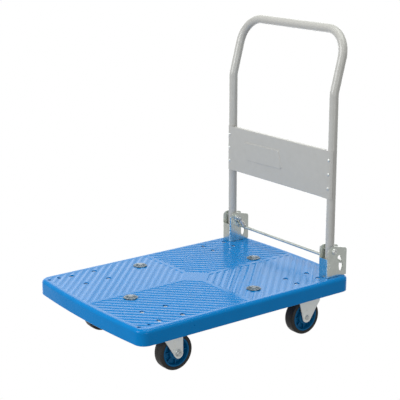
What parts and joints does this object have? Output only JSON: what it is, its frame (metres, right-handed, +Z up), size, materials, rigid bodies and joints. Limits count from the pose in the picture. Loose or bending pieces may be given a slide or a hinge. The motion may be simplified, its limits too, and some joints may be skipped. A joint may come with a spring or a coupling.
{
  "type": "folding platform cart",
  "caption": "Flat plastic deck on swivel and fixed casters with a tubular push handle that folds down flat when its foot-operated lock rod is pressed.",
  "frame": {"origin": "on the floor, under the middle of the deck", "axes": "+X across the deck, +Y along the deck towards the handle, +Z up"},
  "size_m": [0.505, 0.725, 0.8474],
  "materials": {
    "deck_plastic": "saturated blue moulded polypropylene, smooth glossy sides, ribbed anti-slip top",
    "stud_plastic": "grey moulded cap with fine radial facets",
    "grey_paint": "light grey powder coat on steel tube and sheet",
    "plug_plastic": "black moulded end plug",
    "zinc_sheet": "bright zinc-plated pressed steel with faint spangle",
    "zinc_bar": "zinc-plated drawn round bar",
    "spring_steel": "bright zinc-plated spring wire",
    "zinc_fastener": "bright zinc-plated bolts, nuts, pins and rivets",
    "hub_plastic": "dark blue moulded nylon hub with ribs",
    "tyre_rubber": "matt black-brown solid rubber with a rounded tread",
    "bush_plastic": "natural acetal plain bearing sleeve"
  },
  "bodies": {
    "deck": {"bracket_bolt_left_front": "zinc_fastener", "bracket_bolt_left_rear": "zinc_fastener", "bracket_bolt_right_front": "zinc_fastener", "bracket_bolt_right_rear": "zinc_fastener", "bracket_left": "zinc_sheet", "bracket_right": "zinc_sheet", "deck": "deck_plastic", "deck_stud_front": "stud_plastic", "deck_stud_left": "stud_plastic", "deck_stud_rear": "stud_plastic", "deck_stud_right": "stud_plastic", "front_kingpin_left": "zinc_fastener", "front_kingpin_right": "zinc_fastener", "front_plate_left": "zinc_sheet", "front_plate_right": "zinc_sheet", "front_race_left": "zinc_sheet", "front_race_right": "zinc_sheet", "lock_spring_left": "spring_steel", "lock_spring_right": "spring_steel", "pivot_bolt_left": "zinc_fastener", "pivot_bolt_right": "zinc_fastener", "pivot_nut_left": "zinc_fastener", "pivot_nut_right": "zinc_fastener", "rear_axle_left": "zinc_fastener", "rear_axle_right": "zinc_fastener", "rear_fork_left": "zinc_sheet", "rear_fork_right": "zinc_sheet", "rear_nut_left": "zinc_fastener", "rear_nut_right": "zinc_fastener"},
    "handle": {"handle_panel": "grey_paint", "handle_tube": "grey_paint", "panel_rivet_left_high": "zinc_fastener", "panel_rivet_left_low": "zinc_fastener", "panel_rivet_left_middle": "zinc_fastener", "panel_rivet_right_high": "zinc_fastener", "panel_rivet_right_low": "zinc_fastener", "panel_rivet_right_middle": "zinc_fastener", "tube_plug_left": "plug_plastic", "tube_plug_right": "plug_plastic"},
    "lock_rod": {"lock_rod": "zinc_bar"},
    "swivel_left": {"front_fork_left": "zinc_sheet", "front_axle_left": "zinc_fastener", "front_nut_left": "zinc_fastener"},
    "front_wheel_left": {"front_hub_left": "hub_plastic", "front_tyre_left": "tyre_rubber", "front_bush_left": "bush_plastic"},
    "rear_wheel_left": {"rear_hub_left": "hub_plastic", "rear_tyre_left": "tyre_rubber", "rear_bush_left": "bush_plastic"},
    "swivel_right": {"front_fork_right": "zinc_sheet", "front_axle_right": "zinc_fastener", "front_nut_right": "zinc_fastener"},
    "front_wheel_right": {"front_hub_right": "hub_plastic", "front_tyre_right": "tyre_rubber", "front_bush_right": "bush_plastic"},
    "rear_wheel_right": {"rear_hub_right": "hub_plastic", "rear_tyre_right": "tyre_rubber", "rear_bush_right": "bush_plastic"}
  },
  "joints": [
    {"name": "handle_fold", "type": "hinge", "parent": "deck", "child": "handle", "pos_m": [0, 0.303, 0.234], "axis": [1, 0, 0], "range_deg": [0, 97]},
    {"name": "lock_release", "type": "slide", "parent": "deck", "child": "lock_rod", "axis": [0, 0, -1], "range_m": [0, 0.018], "stiffness_N_per_m": 1500, "springref_m": -0.012, "deforming": ["lock_spring_left", "lock_spring_right"]},
    {"name": "swivel_turn_left", "type": "hinge", "parent": "deck", "child": "swivel_left", "pos_m": [-0.1736, -0.2324, 0.116], "axis": [0, 0, 1], "continuous": true},
    {"name": "front_roll_left", "type": "hinge", "parent": "swivel_left", "child": "front_wheel_left", "pos_m": [-0.1736, -0.2, 0.05], "axis": [1, 0, 0], "continuous": true},
    {"name": "rear_roll_left", "type": "hinge", "parent": "deck", "child": "rear_wheel_left", "pos_m": [-0.186, 0.231, 0.05], "axis": [1, 0, 0], "continuous": true},
    {"name": "swivel_turn_right", "type": "hinge", "parent": "deck", "child": "swivel_right", "pos_m": [0.1736, -0.2324, 0.116], "axis": [0, 0, 1], "continuous": true},
    {"name": "front_roll_right", "type": "hinge", "parent": "swivel_right", "child": "front_wheel_right", "pos_m": [0.1736, -0.2, 0.05], "axis": [1, 0, 0], "continuous": true},
    {"name": "rear_roll_right", "type": "hinge", "parent": "deck", "child": "rear_wheel_right", "pos_m": [0.186, 0.231, 0.05], "axis": [1, 0, 0], "continuous": true}
  ]
}
